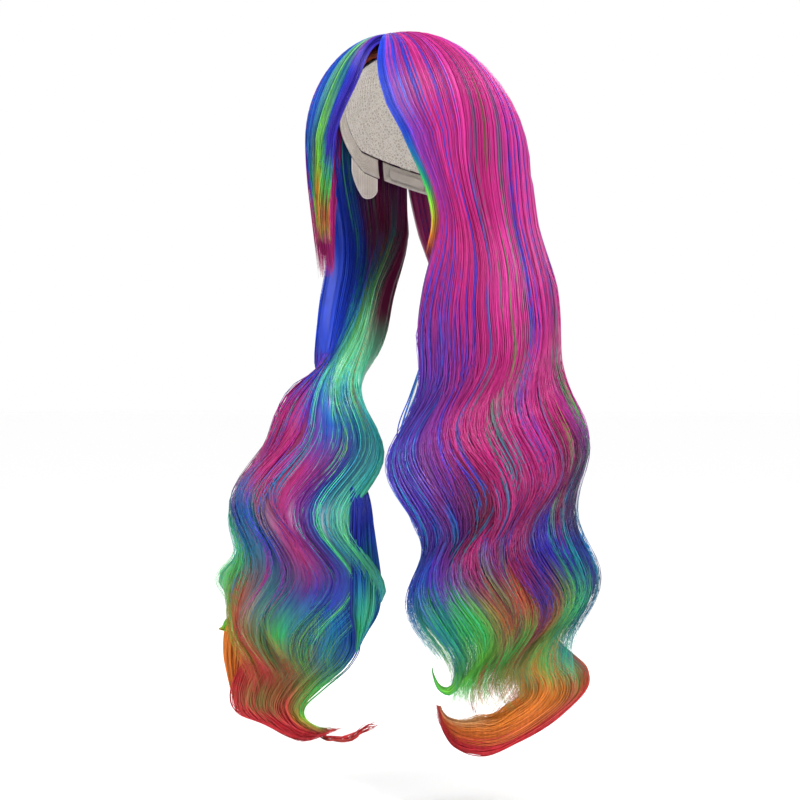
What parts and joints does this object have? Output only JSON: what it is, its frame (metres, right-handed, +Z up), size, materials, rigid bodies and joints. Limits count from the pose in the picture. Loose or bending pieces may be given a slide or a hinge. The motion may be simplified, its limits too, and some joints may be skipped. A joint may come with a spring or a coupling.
{
  "type": "costume wig",
  "caption": "Long wavy rainbow costume wig on a stretch cap, with a central parting, side-swept fringe, curled ends and adjustable nape straps.",
  "frame": {"origin": "the top of the head, where the inside of the cap rests on it", "axes": "+Z up, the wearer faces -Y, the wearer's left is +X"},
  "size_m": [0.4118, 0.2405, 0.7537],
  "materials": {
    "hair_magenta": "glossy synthetic fibre",
    "hair_purple": "glossy synthetic fibre",
    "hair_blue": "glossy synthetic fibre",
    "hair_green": "glossy synthetic fibre",
    "hair_red": "glossy synthetic fibre",
    "hair_orange": "glossy synthetic fibre",
    "cap_net": "open stretch net",
    "cap_cloth": "matt woven band",
    "cap_skin": "matt skin-coloured cloth",
    "elastic": "ribbed elastic",
    "weft": "sewn fibre track",
    "hook_plastic": "moulded",
    "stay_steel": "flat strip",
    "label_cloth": "satin tape"
  },
  "bodies": {
    "cap": {"crown_net": "cap_net", "front_band": "cap_cloth", "parting_patch": "cap_skin", "nape_elastic": "elastic", "ribbon_spokes": "elastic", "weft_rows_left": "weft", "weft_rows_right": "weft", "weft_rows_back": "weft", "hook_loops_left": "elastic", "hook_loops_right": "elastic", "care_label": "label_cloth", "crown_hair_left": "hair_magenta", "crown_hair_right": "hair_blue", "crown_hair_back": "hair_magenta", "fringe_left": "hair_blue", "fringe_right": "hair_green", "side_lock_right": "hair_magenta"},
    "ear_tab_left": {"ear_tab_left": "cap_cloth", "ear_tab_stay_left": "stay_steel"},
    "ear_tab_right": {"ear_tab_right": "cap_cloth", "ear_tab_stay_right": "stay_steel"},
    "strap_left": {"adjuster_strap_left": "elastic", "adjuster_hook_left": "hook_plastic"},
    "strap_right": {"adjuster_strap_right": "elastic", "adjuster_hook_right": "hook_plastic"},
    "left_hair": {"left_lock_face": "hair_purple", "left_lock_front": "hair_magenta", "left_lock_middle": "hair_magenta", "left_lock_outer": "hair_blue", "left_tip_curl": "hair_red", "left_hook_curl": "hair_green"},
    "right_hair": {"right_lock_blue": "hair_blue", "right_lock_green": "hair_green", "right_lock_front": "hair_magenta", "right_lock_outer": "hair_green", "right_tip_curl": "hair_red", "right_flip_curl": "hair_orange", "right_tip_flick": "hair_red"},
    "back_hair": {"back_lock_left": "hair_magenta", "back_lock_centre": "hair_purple", "back_lock_right": "hair_magenta"}
  },
  "joints": [
    {"name": "left_hair_swing", "type": "hinge", "parent": "cap", "child": "left_hair", "pos_m": [0.1309, -0.028, -0.2], "axis": [0, 1, 0], "range_deg": [-16, 3]},
    {"name": "right_hair_swing", "type": "hinge", "parent": "cap", "child": "right_hair", "pos_m": [-0.1115, -0.0476, -0.2], "axis": [0, 1, 0], "range_deg": [-3, 14]},
    {"name": "back_hair_swing", "type": "hinge", "parent": "cap", "child": "back_hair", "pos_m": [0.0257, 0.1094, -0.2], "axis": [1, 0, 0], "range_deg": [-3, 20]},
    {"name": "ear_tab_left_bend", "type": "hinge", "parent": "cap", "child": "ear_tab_left", "pos_m": [0.0759, 0.0013, -0.119], "axis": [-0.0875, 0.8702, -0.4848], "range_deg": [-2, 20]},
    {"name": "ear_tab_right_bend", "type": "hinge", "parent": "cap", "child": "ear_tab_right", "pos_m": [-0.0759, 0.0013, -0.119], "axis": [-0.0875, -0.8702, 0.4848], "range_deg": [-2, 20]},
    {"name": "strap_left_swing", "type": "hinge", "parent": "cap", "child": "strap_left", "pos_m": [0.0687, 0.035, -0.1233], "axis": [0, 0, 1], "range_deg": [0, 50]},
    {"name": "strap_right_swing", "type": "hinge", "parent": "cap", "child": "strap_right", "pos_m": [-0.0687, 0.035, -0.1233], "axis": [0, 0, -1], "range_deg": [0, 50]}
  ]
}
